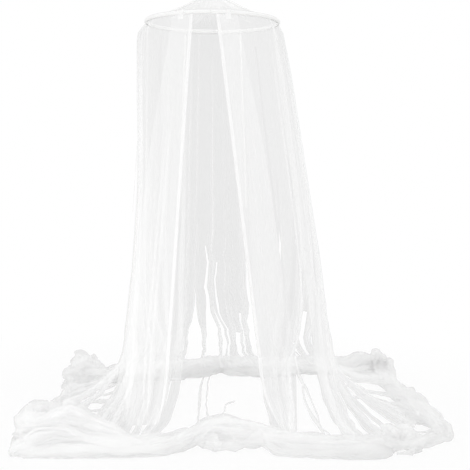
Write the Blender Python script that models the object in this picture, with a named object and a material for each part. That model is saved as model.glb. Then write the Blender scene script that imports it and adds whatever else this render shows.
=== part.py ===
"""Hanging mosquito net: a round hooped canopy net that hangs from one ring, with a parted front entrance
and its spare length gathered on the floor. Metres, +Z up, the front at -Y, the origin where a hook
bears in the hanging ring."""

import bmesh
import bpy
from math import asin, atan2, cos, degrees, exp, pi, radians, sin, sqrt
from mathutils import Vector

# Clearances
GAP = 0.0004  # between two pieces that touch
SEAM_GAP = 0.0012  # between the edges of two joined widths of net

# Facets
ROUND_STEPS = 28  # of a small ring or disc
HOOP_STEPS = 12  # of one rod, and of a quarter of the casing
ROD_SIDES = 10

# Hanging ring and webbing loop
RING_BORE_RADIUS = 0.012
RING_WIRE_RADIUS = 0.002
LOOP_WIDTH = 0.008
LOOP_THICKNESS = 0.0012
LOOP_NECK = 0.020  # below the ring's wire, where the two legs of the loop come together
LOOP_FOLD = 0.0032  # how far each tail turns out under the stopper
LOOP_BEND_END = 120  # degrees from the top of the wire to where each leg leaves it

# Crown
CROWN_DROP = 0.120  # top of the crown under the hang point
CROWN_RADIUS = 0.026
CROWN_DISC_THICKNESS = 0.0015
EYELET_BORE_RADIUS = 0.0054
EYELET_WALL = 0.0009
EYELET_FLANGE = 0.0040
EYELET_ROUNDING = 0.6  # height of the flange's rim as a share of the wall
STOPPER_RADIUS = 0.0095
STOPPER_THICKNESS = 0.003

# Hoop
HOOP_DROP = 0.250  # hoop's plane under the hang point
HOOP_RADIUS = 0.300
ROD_RADIUS = 0.005
ROD_COUNT = 3
ROD_END_GAP = 0.002
FERRULE_WALL = 0.001
FERRULE_LENGTH = 0.044
CASING_THICKNESS = 0.0012
CASING_EASE = 0.0012  # room round the rods, so that the tube can be drawn over them
CASING_SLIT = 0.005
CASING_TAPE_LENGTH = 0.030
CASING_TAPE_LAP = 65.0  # degrees that the tape reaches up and down round the casing's outer side

# Net cloth
NET_THICKNESS = 0.0024
CONE_CLOTH_THICKNESS = 0.0016
CONE_GORES = 4
CONE_SAG = 1.4  # power of the cone's hollow slope
CONE_FOLD = 0.006
CONE_FOLDS_PER_GORE = 3
CONE_ROWS = 7
CONE_FOLD_START = 0.35  # share of the slope over which the folds grow from the crown
CONE_FOLD_END = 0.30  # and over which they die out towards the hoop
FLOOR_DROP = 2.040  # floor under the hang point
FOOT_HEIGHT = 0.300  # where the wall starts to run out over the floor
FOOT_LEFT = 0.400
FOOT_RIGHT = 0.560
FOOT_FRONT = 0.450
FOOT_REAR = 0.430
FOLD_DEPTH = 0.018
ROLL_FOLD_DEPTH = 0.004
RUN_HOLLOW = 4  # power of the run's fall from the foot of the wall to the floor
SEAM_LEAN = 4  # power by which the wall's sewn edges part late, near the foot
ENTRANCE_LEAN = 1  # and the entrance's edges part evenly
COLUMN_PITCH = 5.6  # degrees of hoop for one column of the cloth
COLUMNS_PER_FOLD = 4

# Rolled spare length on the floor: its corners, seen from above, and how thick it lies there
FRONT_LEFT_CORNER = (-0.650, -0.650)
FRONT_RIGHT_CORNER = (0.925, -0.610)
REAR_RIGHT_CORNER = (0.900, 0.770)
REAR_LEFT_CORNER = (-0.670, 0.450)
ROLL_RADIUS = 0.046
CORNER_ROLL_RADIUS = 0.070
ROLL_TURNS = 1.2
ROLL_TIGHTNESS = 0.42  # the roll's inner end as a share of its outside
ROLL_UNEVENNESS = 0.06  # how much its thickness follows the folds
CORNER_REACH = 15.0  # degrees over which a roll swells towards a corner

# Widths of net, as degrees round the hoop from the front towards +X: start and end at the hoop, at the
# foot of the wall and at the roll on the floor
PANELS = {
    "front_right_panel": ((8.0, 88.0), (29.0, 80.0), (0.0, 88.0)),
    "rear_right_panel": ((88.0, 155.0), (95.0, 149.0), (88.0, 155.0)),
    "rear_panel": ((155.0, 207.0), (160.0, 202.0), (155.0, 207.0)),
    "rear_left_panel": ((207.0, 272.0), (213.0, 265.0), (207.0, 270.0)),
    "front_left_panel": ((272.0, 343.0), (280.0, 335.0), (270.0, 360.0)),
}
SEAMS = {"right_seam": 88.0, "rear_right_seam": 155.0, "rear_left_seam": 207.0, "left_seam": 272.0}
SEAM_WIDTH = 0.010
SEAM_THICKNESS = 0.0016
SEAM_LENGTH = 0.85
SEAM_ON_FOLD = 0.35  # how far up the folds' depth a seam lies
WALL_ROWS = 8
FLARE_ROWS = 5
ROLL_ROWS = 11

# Entrance leaves: flat lengths of net that hang before the front widths and pivot on a tacked tab
LEAF_THICKNESS = 0.0020
LEAF_FOLD = 0.005
LEAF_FOLDS = 3
LEAF_CLEARANCE = 0.005
LEAF_FOOT_HEIGHT = 0.340
HEM_WIDTH = 0.014
HEM_THICKNESS = 0.0012
TAB_WIDTH = 0.024
TAB_THICKNESS = 0.0014
TAB_LAP = 0.020
LEAVES = {
    # azimuth of the pivot, then across the leaf from the pivot: hem at the top, hem at the foot, outer
    # edge at the top, outer edge at the foot
    "left": (-24.0, 0.056, 0.027, -0.040, -0.235),
    "right": (14.0, -0.053, 0.094, 0.040, 0.300),
}

# Sizes that follow from the ones above
RING_RADIUS = RING_BORE_RADIUS + RING_WIRE_RADIUS
RING_CENTRE_Z = -RING_BORE_RADIUS
PIVOT_Z = RING_CENTRE_Z - RING_RADIUS
HOOP_Z = -HOOP_DROP
FLOOR_Z = -FLOOR_DROP
HOOP_HEIGHT = FLOOR_DROP - HOOP_DROP
FERRULE_RADIUS = ROD_RADIUS + GAP + FERRULE_WALL
CASING_BORE = FERRULE_RADIUS + CASING_EASE
CASING_RADIUS = CASING_BORE + CASING_THICKNESS
SKIRT_TOP_HEIGHT = HOOP_HEIGHT - CASING_BORE - GAP
CAP_Z = -CROWN_DROP
GORE_FLANGE_Z = CAP_Z - CROWN_DISC_THICKNESS - GAP - CONE_CLOTH_THICKNESS / 2
BACKING_Z = GORE_FLANGE_Z - CONE_CLOTH_THICKNESS / 2 - GAP
EYELET_FOOT_Z = BACKING_Z - CROWN_DISC_THICKNESS - GAP
STOPPER_Z = EYELET_FOOT_Z - EYELET_WALL - GAP

MATERIALS = {
    "steel": ((0.72, 0.73, 0.74, 1.0), 0.30, 1.0),
    "white_plastic": ((0.88, 0.88, 0.87, 1.0), 0.40, 0.0),
    "white_tape": ((0.92, 0.92, 0.91, 1.0), 0.85, 0.0),
    "white_net": ((0.93, 0.94, 0.94, 0.35), 0.80, 0.0),
}


def clear_scene():
    for thing in list(bpy.data.objects):
        bpy.data.objects.remove(thing, do_unlink=True)


def material(name):
    """One Principled material for each kind of stuff."""
    found = bpy.data.materials.get(name)
    if found:
        return found
    colour, roughness, metallic = MATERIALS[name]
    made = bpy.data.materials.new(name)
    made.use_nodes = True
    shader = made.node_tree.nodes["Principled BSDF"]
    shader.inputs["Base Color"].default_value = (*colour[:3], 1.0)
    shader.inputs["Alpha"].default_value = colour[3]
    shader.inputs["Roughness"].default_value = roughness
    shader.inputs["Metallic"].default_value = metallic
    return made


def add_object(name, bm, stuff, origin, parent, smooth_angle=40.0):
    """Turns a bmesh in world coordinates into an object whose origin is at its joint or its seat."""
    bmesh.ops.translate(bm, verts=bm.verts, vec=-Vector(origin))
    bmesh.ops.recalc_face_normals(bm, faces=bm.faces)
    mesh = bpy.data.meshes.new(name)
    bm.to_mesh(mesh)
    bm.free()
    mesh.materials.append(material(stuff))
    mesh.shade_smooth()
    mesh.set_sharp_from_angle(angle=radians(smooth_angle))
    thing = bpy.data.objects.new(name, mesh)
    bpy.context.collection.objects.link(thing)
    thing.parent = parent
    thing.location = Vector(origin) - (world_place(parent) if parent else Vector())
    return thing


def add_empty(name, place, parent=None):
    """The origin of a moving body, on its joint's axis."""
    empty = bpy.data.objects.new(name, None)
    empty.empty_display_size = 0.05
    bpy.context.collection.objects.link(empty)
    empty.parent = parent
    empty.location = Vector(place) - (world_place(parent) if parent else Vector())
    return empty


def world_place(thing):
    place = Vector()
    while thing:
        place += thing.location
        thing = thing.parent
    return place


def loft(sections, ring=False):
    """A closed body through sections of equal point counts; ring joins the last section to the first."""
    bm = bmesh.new()
    rows = [[bm.verts.new(point) for point in section] for section in sections]
    pairs = list(zip(rows, rows[1:]))
    if ring:
        pairs.append((rows[-1], rows[0]))
    for low, high in pairs:
        for index in range(len(low)):
            after = (index + 1) % len(low)
            bm.faces.new((low[index], low[after], high[after], high[index]))
    if not ring:
        bm.faces.new(list(reversed(rows[0])))
        bm.faces.new(rows[-1])
    return bm


def turned(profile):
    """A ring turned from a closed profile of (radius, height) points."""
    sections = []
    for step in range(ROUND_STEPS):
        turn = 2 * pi * step / ROUND_STEPS
        sections.append([(r * cos(turn), r * sin(turn), z) for r, z in profile])
    return loft(sections, ring=True)


def sheet_body(point, columns, rows, thickness):
    """A closed sheet of even thickness round the surface point(u, v), where u and v run from 0 to 1.

    Both sides are split along the same diagonals, or they would cut each other where the surface twists."""
    bm = bmesh.new()
    middle = [[Vector(point(c / columns, r / rows)) for c in range(columns + 1)] for r in range(rows + 1)]
    faces = []
    for row in range(rows + 1):
        faces.append([])
        for column in range(columns + 1):
            along = middle[min(row + 1, rows)][column] - middle[max(row - 1, 0)][column]
            across = middle[row][min(column + 1, columns)] - middle[row][max(column - 1, 0)]
            normal = across.cross(along).normalized() * thickness / 2
            place = middle[row][column]
            faces[row].append((bm.verts.new(place + normal), bm.verts.new(place - normal)))
    for row in range(rows):
        for column in range(columns):
            corners = [faces[row][column], faces[row][column + 1]]
            corners += [faces[row + 1][column + 1], faces[row + 1][column]]
            for a, b, c in ((0, 1, 2), (0, 2, 3)):
                bm.faces.new([corners[a][0], corners[b][0], corners[c][0]])
                bm.faces.new([corners[c][1], corners[b][1], corners[a][1]])
    rim = [faces[0][c] for c in range(columns + 1)]
    rim += [faces[r][columns] for r in range(1, rows + 1)]
    rim += [faces[rows][c] for c in range(columns - 1, -1, -1)]
    rim += [faces[r][0] for r in range(rows - 1, 0, -1)]
    for here, after in zip(rim, rim[1:] + rim[:1]):
        bm.faces.new((here[0], here[1], after[1], after[0]))
    return bm


def round_the_hoop(azimuth, radius, z):
    """A point at so many degrees from the front towards +X."""
    turn = radians(azimuth)
    return Vector((radius * sin(turn), -radius * cos(turn), z))


def mix(low, high, share):
    return low + (high - low) * share


def ease(share):
    share = min(max(share, 0.0), 1.0)
    return share * share * (3 - 2 * share)


def make_ring(body):
    """The steel ring that hangs on the hook, lying in the plane of the front."""
    sections = []
    for step in range(ROUND_STEPS):
        turn = 2 * pi * step / ROUND_STEPS
        middle = Vector((RING_RADIUS * cos(turn), 0, RING_CENTRE_Z + RING_RADIUS * sin(turn)))
        out = Vector((cos(turn), 0, sin(turn)))
        side = Vector((0, 1, 0))
        section = []
        for corner in range(8):
            spin = 2 * pi * corner / 8
            section.append(middle + RING_WIRE_RADIUS * (cos(spin) * out + sin(spin) * side))
        sections.append(section)
    add_object("hanging_ring", loft(sections, ring=True), "steel", (0, 0, 0), body)


def strip_half_path():
    """One leg of the webbing loop, as (y, z), from the top of the ring's wire down to its turned tail."""
    wire_rise = RING_RADIUS - sqrt(RING_RADIUS**2 - (LOOP_WIDTH / 2) ** 2)
    bend = RING_WIRE_RADIUS + wire_rise + GAP + LOOP_THICKNESS / 2
    leg = LOOP_THICKNESS / 2 + GAP / 2
    turns = [radians(a) for a in range(0, LOOP_BEND_END + 1, 20)]
    path = [(bend * sin(turn), PIVOT_Z + bend * cos(turn)) for turn in turns]
    path.append((leg * 1.6, PIVOT_Z - LOOP_NECK * 0.6))
    path.append((leg, PIVOT_Z - LOOP_NECK))
    tail = STOPPER_Z - STOPPER_THICKNESS - GAP
    path.append((leg, tail + LOOP_THICKNESS / 2))
    path.append((leg + LOOP_THICKNESS * 0.4, tail - LOOP_THICKNESS / 2 - GAP))
    path.append((leg + LOOP_FOLD, tail - LOOP_THICKNESS / 2 - GAP))
    return path


def make_loop(body):
    """Webbing that passes through the ring and the crown's eyelet, its tails turned out below."""
    half = strip_half_path()
    path = [Vector((0, -y, z)) for y, z in reversed(half[1:])] + [Vector((0, y, z)) for y, z in half]
    sections = []
    for index, place in enumerate(path):
        before = path[max(index - 1, 0)]
        after = path[min(index + 1, len(path) - 1)]
        along = (after - before).normalized()
        out = Vector((1, 0, 0)).cross(along) * LOOP_THICKNESS / 2
        side = Vector((LOOP_WIDTH / 2, 0, 0))
        sections.append([place + out + side, place + out - side, place - out - side, place - out + side])
    add_object("hanging_loop", loft(sections), "white_tape", (0, 0, PIVOT_Z), body)


def make_stopper(body):
    """The disc under the crown that the loop's tails carry, slotted for the webbing."""
    slot_x = LOOP_WIDTH / 2 + GAP
    slot_y = LOOP_THICKNESS + GAP * 1.5
    corner = degrees(atan2(slot_y, slot_x))
    corners = {corner, 180 - corner, 180 + corner, 360 - corner}
    turns = sorted({360 * step / ROUND_STEPS for step in range(ROUND_STEPS)} | corners)
    sections = []
    for turn in turns:
        way = Vector((cos(radians(turn)), sin(radians(turn)), 0))
        reach = min(slot_x / max(abs(way.x), 1e-6), slot_y / max(abs(way.y), 1e-6))
        top = Vector((0, 0, STOPPER_Z))
        foot = Vector((0, 0, STOPPER_Z - STOPPER_THICKNESS))
        sections.append([way * reach + top, way * STOPPER_RADIUS + top,
                         way * STOPPER_RADIUS + foot, way * reach + foot])
    add_object("loop_stopper", loft(sections, ring=True), "white_plastic", (0, 0, STOPPER_Z), body)


def make_crown(body):
    """Two fabric discs that hold the tops of the gores between them, and the eyelet through both."""
    hole = EYELET_BORE_RADIUS + EYELET_WALL + GAP
    for name, top in (("crown_cap", CAP_Z), ("crown_backing", BACKING_Z)):
        foot = top - CROWN_DISC_THICKNESS
        profile = [(hole, foot), (CROWN_RADIUS, foot), (CROWN_RADIUS, top), (hole, top)]
        add_object(name, turned(profile), "white_tape", (0, 0, top), body)
    inner = EYELET_BORE_RADIUS
    outer = EYELET_BORE_RADIUS + EYELET_WALL
    flange = outer + EYELET_FLANGE
    seat = CAP_Z + GAP
    profile = [
        (inner, EYELET_FOOT_Z - EYELET_WALL),
        (flange - EYELET_FLANGE / 2, EYELET_FOOT_Z - EYELET_WALL),
        (flange - EYELET_FLANGE / 2, EYELET_FOOT_Z),
        (outer, EYELET_FOOT_Z),
        (outer, seat),
        (flange, seat),
        (flange, seat + EYELET_WALL * EYELET_ROUNDING),
        (inner + EYELET_WALL, seat + EYELET_WALL),
        (inner, seat + EYELET_WALL * EYELET_ROUNDING),
    ]
    add_object("crown_eyelet", turned(profile), "steel", (0, 0, CAP_Z), body)


def make_gores(body):
    """The hollow cone between crown and hoop, in equal gores with a seam tape over each joint."""
    share = 360 / CONE_GORES
    edge = degrees(SEAM_GAP / 2 / CROWN_RADIUS)
    hole = EYELET_BORE_RADIUS + EYELET_WALL + EYELET_FLANGE
    flange = 1 / CONE_ROWS
    lip_z = HOOP_Z + CASING_RADIUS + GAP + CONE_CLOTH_THICKNESS / 2

    def slope(v):
        """Radius and height down the gore: crown flange, hollow slope and the lip on the casing."""
        if v <= flange:
            return mix(hole, CROWN_RADIUS, v / flange), GORE_FLANGE_Z
        down = (v - flange) / (1 - flange)
        radius = mix(CROWN_RADIUS, HOOP_RADIUS, down)
        fall = 1 - (1 - down) ** CONE_SAG
        return radius, mix(GORE_FLANGE_Z, lip_z, fall)

    for index in range(CONE_GORES):
        start = index * share + share / 2 + edge
        span = share - 2 * edge

        def surface(u, v):
            radius, z = slope(v)
            from_edge = min(u, 1 - u) * radians(span) * radius - SEAM_WIDTH / 2
            rise = CONE_FOLD * sin(2 * pi * CONE_FOLDS_PER_GORE * u) * ease(from_edge / SEAM_WIDTH)
            rise *= ease((v - flange) / CONE_FOLD_START) * ease((1 - v) / CONE_FOLD_END)
            return round_the_hoop(start + span * u, radius, z + rise)

        gore = sheet_body(surface, CONE_FOLDS_PER_GORE * 4, CONE_ROWS, CONE_CLOTH_THICKNESS)
        add_object(f"cone_gore_{index + 1}", gore, "white_net", (0, 0, CAP_Z), body)

        def tape(u, v):
            radius, z = slope(mix(2 * flange, 1 - flange, v))
            lift = (CONE_CLOTH_THICKNESS + SEAM_THICKNESS) / 2 + GAP * 3
            place = round_the_hoop(start - edge, radius, z + lift)
            across = round_the_hoop(start - edge + 90, 1.0, 0)
            return place + across * SEAM_WIDTH * (u - 0.5)

        seam = sheet_body(tape, 2, CONE_ROWS - 3, SEAM_THICKNESS)
        add_object(f"cone_seam_{index + 1}", seam, "white_tape", (0, 0, CAP_Z), body)


def hoop_section(azimuth, profile):
    """A profile of (outward, up) points set across the hoop at an azimuth."""
    return [round_the_hoop(azimuth, HOOP_RADIUS + out, HOOP_Z + up) for out, up in profile]


def make_hoop(body):
    """Bent rods joined end to end by ferrules, in a split fabric casing."""
    share = 360 / ROD_COUNT
    end = degrees(ROD_END_GAP / 2 / HOOP_RADIUS)
    ways = [(cos(2 * pi * side / ROD_SIDES), sin(2 * pi * side / ROD_SIDES)) for side in range(ROD_SIDES)]
    rod = [(ROD_RADIUS * x, ROD_RADIUS * y) for x, y in ways]
    wall = [(FERRULE_RADIUS * x, FERRULE_RADIUS * y) for x, y in ways]
    bore = [((ROD_RADIUS + GAP) * x, (ROD_RADIUS + GAP) * y) for x, y in ways]
    half = degrees(FERRULE_LENGTH / 2 / HOOP_RADIUS)
    for index in range(ROD_COUNT):
        start = 60 + index * share
        free = share - 2 * half
        turns = [start + end, start + half / 3]
        turns += [start + half + free * step / HOOP_STEPS for step in range(HOOP_STEPS + 1)]
        turns += [start + share - half / 3, start + share - end]
        body_mesh = loft([hoop_section(turn, rod) for turn in turns])
        add_object(f"hoop_rod_{index + 1}", body_mesh, "white_plastic", (0, 0, HOOP_Z), body)
        turns = [start - half + 2 * half * step / 3 for step in range(4)]
        tube = [hoop_section(turn, wall) for turn in turns]
        tube += [hoop_section(turn, bore) for turn in reversed(turns)]
        add_object(f"hoop_ferrule_{index + 1}", loft(tube, ring=True), "steel", (0, 0, HOOP_Z), body)
    make_casing(body)


def arc_section(bore, wall, start, end, points):
    """A tube's wall from one angle to another, as an open C."""
    turns = [start + (end - start) * step / points for step in range(points + 1)]
    outer = [((bore + wall) * cos(turn), (bore + wall) * sin(turn)) for turn in turns]
    inner = [(bore * cos(turn), bore * sin(turn)) for turn in reversed(turns)]
    return outer + inner


def make_casing(body):
    """The fabric tube sewn round the rods, open below for the skirt, and the tapes over their rear joint."""
    open_angle = asin(CASING_SLIT / 2 / (CASING_BORE + CASING_THICKNESS / 2))
    profile = arc_section(CASING_BORE, CASING_THICKNESS, open_angle - pi / 2, 1.5 * pi - open_angle, 8)
    end = degrees(SEAM_GAP / 2 / HOOP_RADIUS)
    for name, start in (("casing_left", 180.0), ("casing_right", 0.0)):
        turns = [start + end + (90 - end) * step / HOOP_STEPS for step in range(2 * HOOP_STEPS + 1)]
        add_object(name, loft([hoop_section(turn, profile) for turn in turns]), "white_tape",
                   (0, 0, HOOP_Z), body)
    half = degrees(CASING_TAPE_LENGTH / 2 / HOOP_RADIUS)
    lap = radians(CASING_TAPE_LAP)
    wrap = arc_section(CASING_RADIUS + GAP * 2, CASING_THICKNESS, -lap, lap, 5)
    turns = [180 - half + 2 * half * step / 3 for step in range(4)]
    add_object("casing_tape", loft([hoop_section(turn, wrap) for turn in turns]), "white_tape",
               (0, 0, HOOP_Z), body)


def foot_radius(azimuth):
    """How far the wall stands out at its foot: an ellipse with its own reach in each direction."""
    turn = radians(azimuth)
    reach_x = FOOT_RIGHT if sin(turn) > 0 else FOOT_LEFT
    reach_y = FOOT_FRONT if cos(turn) > 0 else FOOT_REAR
    return 1 / sqrt((sin(turn) / reach_x) ** 2 + (cos(turn) / reach_y) ** 2)


def foot_support(azimuth):
    """How far the foot's ellipse reaches in one direction, where a flat leaf would touch it."""
    turn = radians(azimuth)
    reach_x = FOOT_RIGHT if sin(turn) > 0 else FOOT_LEFT
    reach_y = FOOT_FRONT if cos(turn) > 0 else FOOT_REAR
    return sqrt((sin(turn) * reach_x) ** 2 + (cos(turn) * reach_y) ** 2)


def floor_point(azimuth):
    """Where the ray at this azimuth meets the outline of the spread on the floor."""
    corners = [FRONT_LEFT_CORNER, FRONT_RIGHT_CORNER, REAR_RIGHT_CORNER, REAR_LEFT_CORNER]
    turn = radians(azimuth)
    way_x, way_y = sin(turn), -cos(turn)
    best = None
    for (ax, ay), (bx, by) in zip(corners, corners[1:] + corners[:1]):
        side_x, side_y = bx - ax, by - ay
        cross = way_x * side_y - way_y * side_x
        if abs(cross) < 1e-9:
            continue
        reach = (ax * side_y - ay * side_x) / cross
        along = (ax * way_y - ay * way_x) / cross
        if reach > 0 and -1e-6 <= along <= 1 + 1e-6:
            best = reach
    return best


def corner_azimuths():
    corners = [FRONT_LEFT_CORNER, FRONT_RIGHT_CORNER, REAR_RIGHT_CORNER, REAR_LEFT_CORNER]
    return [degrees(atan2(x, -y)) % 360 for x, y in corners]


def roll_radius(azimuth):
    """The rolled cloth is thicker at the four corners."""
    swell = 0.0
    for corner in corner_azimuths():
        away = (azimuth - corner + 180) % 360 - 180
        swell = max(swell, exp(-((away / CORNER_REACH) ** 2)))
    return mix(ROLL_RADIUS, CORNER_ROLL_RADIUS, swell)


def skirt_surface(name):
    """The middle surface of one width of net: wall, run over the floor, and the rolled end."""
    hoop, foot, floor = PANELS[name]
    rows = WALL_ROWS + FLARE_ROWS + ROLL_ROWS
    wall_end = WALL_ROWS / rows
    flare_end = (WALL_ROWS + FLARE_ROWS) / rows
    edge = degrees(SEAM_GAP / 2 / HOOP_RADIUS)
    folds = round((hoop[1] - hoop[0]) / COLUMN_PITCH / COLUMNS_PER_FOLD)
    lean = [SEAM_LEAN, SEAM_LEAN]
    if name == "front_right_panel":
        lean[0] = ENTRANCE_LEAN
    if name == "front_left_panel":
        lean[1] = ENTRANCE_LEAN

    def side(which, down, out):
        """Azimuth of one side edge, down the wall and then out over the floor."""
        inset = edge if which == 0 else -edge
        start = hoop[which] + inset
        at_wall = mix(start, foot[which] + inset, down ** lean[which])
        return mix(at_wall, floor[which] + inset, ease(out))

    def surface(u, v):
        down = min(v / wall_end, 1.0)
        out = min(max((v - wall_end) / (flare_end - wall_end), 0.0), 1.0)
        roll = max((v - flare_end) / (1 - flare_end), 0.0)
        azimuth = mix(side(0, down, out), side(1, down, out), u)
        wave = sin(2 * pi * folds * u)
        wall_radius = mix(HOOP_RADIUS, foot_radius(azimuth), down) + FOLD_DEPTH * down * wave * (1 - out)
        height = mix(SKIRT_TOP_HEIGHT, FOOT_HEIGHT, down)
        if v <= wall_end:
            return round_the_hoop(azimuth, wall_radius, FLOOR_Z + height)
        low = NET_THICKNESS
        size = roll_radius(azimuth) * (1 + ROLL_UNEVENNESS * wave)
        edge_radius = floor_point(azimuth)
        if v <= flare_end:
            bow = (1 - out) ** 2
            radius = mix(edge_radius, wall_radius, bow)
            height = mix(low, FOOT_HEIGHT, (1 - out) ** RUN_HOLLOW) + ROLL_FOLD_DEPTH * (1 + wave) * out
            return round_the_hoop(azimuth, radius, FLOOR_Z + height)
        turn = 2 * pi * ROLL_TURNS * roll
        tight = size * mix(1.0, ROLL_TIGHTNESS, roll)
        radius = edge_radius + tight * sin(turn)
        lift = low + ROLL_FOLD_DEPTH * (1 + wave) * (1 - ease(roll * 4))
        height = lift + size - tight * cos(turn)
        return round_the_hoop(azimuth, radius, FLOOR_Z + height)

    columns = folds * COLUMNS_PER_FOLD
    return surface, columns, rows


def make_skirt(body):
    """The widths of net that hang from the hoop and end rolled up on the floor."""
    for name in PANELS:
        surface, columns, rows = skirt_surface(name)
        add_object(name, sheet_body(surface, columns, rows, NET_THICKNESS), "white_net",
                   (0, 0, HOOP_Z), body, smooth_angle=80.0)
    for name, azimuth in SEAMS.items():
        def tape(u, v, azimuth=azimuth):
            height = SKIRT_TOP_HEIGHT - CASING_THICKNESS - GAP * 3 - SEAM_LENGTH * v
            down = (SKIRT_TOP_HEIGHT - height) / (SKIRT_TOP_HEIGHT - FOOT_HEIGHT)
            radius = mix(HOOP_RADIUS, foot_radius(azimuth), down) + FOLD_DEPTH * down * SEAM_ON_FOLD
            radius += (NET_THICKNESS + SEAM_THICKNESS) / 2 + GAP * 2
            across = round_the_hoop(azimuth + 90, 1.0, 0)
            return round_the_hoop(azimuth, radius, FLOOR_Z + height) + across * SEAM_WIDTH * (u - 0.5)

        add_object(name, sheet_body(tape, 2, 8, SEAM_THICKNESS), "white_tape", (0, 0, HOOP_Z), body)


def leaf_frame(side):
    """Pivot, direction across, direction down and outward normal of an entrance leaf's plane."""
    azimuth = LEAVES[side][0]
    top_radius = HOOP_RADIUS + CASING_RADIUS - LEAF_THICKNESS / 2
    foot = foot_support(azimuth) + FOLD_DEPTH + NET_THICKNESS / 2 + LEAF_CLEARANCE + LEAF_THICKNESS / 2
    pivot = round_the_hoop(azimuth, top_radius, HOOP_Z)
    base = round_the_hoop(azimuth, foot, FLOOR_Z + FOOT_HEIGHT)
    down = (base - pivot).normalized()
    across = round_the_hoop(azimuth + 90, 1.0, 0)
    normal = across.cross(down).normalized()
    if normal.dot(round_the_hoop(azimuth, 1.0, 0)) < 0:
        normal = -normal
    return pivot, across, down, normal


def make_leaf(side, parent):
    """One entrance leaf with its hem, and the tab that tacks it to the casing, all on one pivot."""
    hem_top, hem_foot, outer_top, outer_foot = LEAVES[side][1:]
    pivot, across, down, normal = leaf_frame(side)
    body = add_empty(f"{side}_leaf_pivot", pivot, parent)
    top = CASING_RADIUS + GAP * 3
    length = (HOOP_HEIGHT - LEAF_FOOT_HEIGHT) / -down.z
    inset = HEM_THICKNESS + GAP
    toward_hem = 1 if hem_top > outer_top else -1
    columns = LEAF_FOLDS * 4 + 1

    def place(reach, fall, lift=0.0):
        return pivot + across * reach + down * fall + normal * lift

    def leaf(u, v):
        edge = mix(hem_top, hem_foot, v) - toward_hem * inset
        inside = edge - toward_hem * (HEM_WIDTH + GAP)
        if u <= 1 / columns:
            return place(mix(edge, inside, u * columns), mix(top, length, v))
        share = (u * columns - 1) / (columns - 1)
        reach = mix(inside, mix(outer_top, outer_foot, v), share)
        lift = LEAF_FOLD * (0.5 - 0.5 * cos(2 * pi * LEAF_FOLDS * share)) * ease(v * 3)
        return place(reach, mix(top, length, v), lift)

    add_object(f"{side}_leaf", sheet_body(leaf, columns, 6, LEAF_THICKNESS), "white_net", pivot, body, 80.0)
    add_object(f"{side}_leaf_hem", hem_body(side, place, top, length, toward_hem), "white_tape", pivot, body)
    lift = LEAF_THICKNESS / 2 + GAP + TAB_THICKNESS / 2
    tab = sheet_body(lambda u, v: place(TAB_WIDTH * (u - 0.5), mix(-CASING_RADIUS, top + TAB_LAP, v), lift),
                     2, 3, TAB_THICKNESS)
    add_object(f"{side}_leaf_tab", tab, "white_tape", pivot, body)


def hem_body(side, place, top, length, toward_hem):
    """A tape folded over the leaf's free edge: a U in section, with the edge inside it."""
    hem_top, hem_foot = LEAVES[side][1:3]
    inner = LEAF_THICKNESS / 2 + GAP
    outer = inner + HEM_THICKNESS
    profile = [(0, -outer), (0, outer), (-HEM_WIDTH, outer), (-HEM_WIDTH, inner),
               (-HEM_THICKNESS, inner), (-HEM_THICKNESS, -inner), (-HEM_WIDTH, -inner), (-HEM_WIDTH, -outer)]
    sections = []
    for step in range(9):
        share = step / 8
        reach = mix(hem_top, hem_foot, share)
        fall = mix(top, length, share)
        sections.append([place(reach + toward_hem * back, fall, lift) for back, lift in profile])
    return loft(sections)


def main():
    clear_scene()
    hanger = add_empty("hanger_body", (0, 0, 0))
    make_ring(hanger)
    loop = add_empty("loop_body", (0, 0, PIVOT_Z), hanger)
    make_loop(loop)
    make_stopper(loop)
    net = add_empty("net_body", (0, 0, CAP_Z), loop)
    make_crown(net)
    make_gores(net)
    make_hoop(net)
    make_skirt(net)
    for side in LEAVES:
        make_leaf(side, net)


main()
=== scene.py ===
"""Hanging mosquito net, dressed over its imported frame: pleated widths of see-through net that hang from the
hoop, part at the front, bunch towards the floor and end in rolls and heaps of spare cloth."""

import math

import bpy
import numpy as np
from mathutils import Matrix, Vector, noise


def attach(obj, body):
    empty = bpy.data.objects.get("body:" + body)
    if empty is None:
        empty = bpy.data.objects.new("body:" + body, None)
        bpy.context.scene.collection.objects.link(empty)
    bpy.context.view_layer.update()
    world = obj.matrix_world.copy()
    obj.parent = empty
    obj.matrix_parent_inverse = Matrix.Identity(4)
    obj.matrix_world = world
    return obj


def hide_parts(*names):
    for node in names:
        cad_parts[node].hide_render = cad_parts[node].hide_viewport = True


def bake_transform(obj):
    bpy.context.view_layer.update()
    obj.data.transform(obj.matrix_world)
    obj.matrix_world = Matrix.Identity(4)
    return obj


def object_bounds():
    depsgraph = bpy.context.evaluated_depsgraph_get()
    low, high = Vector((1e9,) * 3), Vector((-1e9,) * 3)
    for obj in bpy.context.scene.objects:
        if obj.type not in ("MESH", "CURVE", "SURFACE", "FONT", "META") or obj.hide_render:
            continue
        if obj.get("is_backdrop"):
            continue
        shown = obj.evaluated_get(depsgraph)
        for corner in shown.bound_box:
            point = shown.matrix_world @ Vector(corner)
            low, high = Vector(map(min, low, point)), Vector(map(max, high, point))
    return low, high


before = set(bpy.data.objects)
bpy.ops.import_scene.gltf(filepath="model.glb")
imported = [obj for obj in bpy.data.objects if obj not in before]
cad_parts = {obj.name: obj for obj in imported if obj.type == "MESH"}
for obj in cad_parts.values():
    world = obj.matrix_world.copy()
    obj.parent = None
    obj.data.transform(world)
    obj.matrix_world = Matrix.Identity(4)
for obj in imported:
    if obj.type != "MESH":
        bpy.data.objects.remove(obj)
CAD_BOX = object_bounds()

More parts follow.
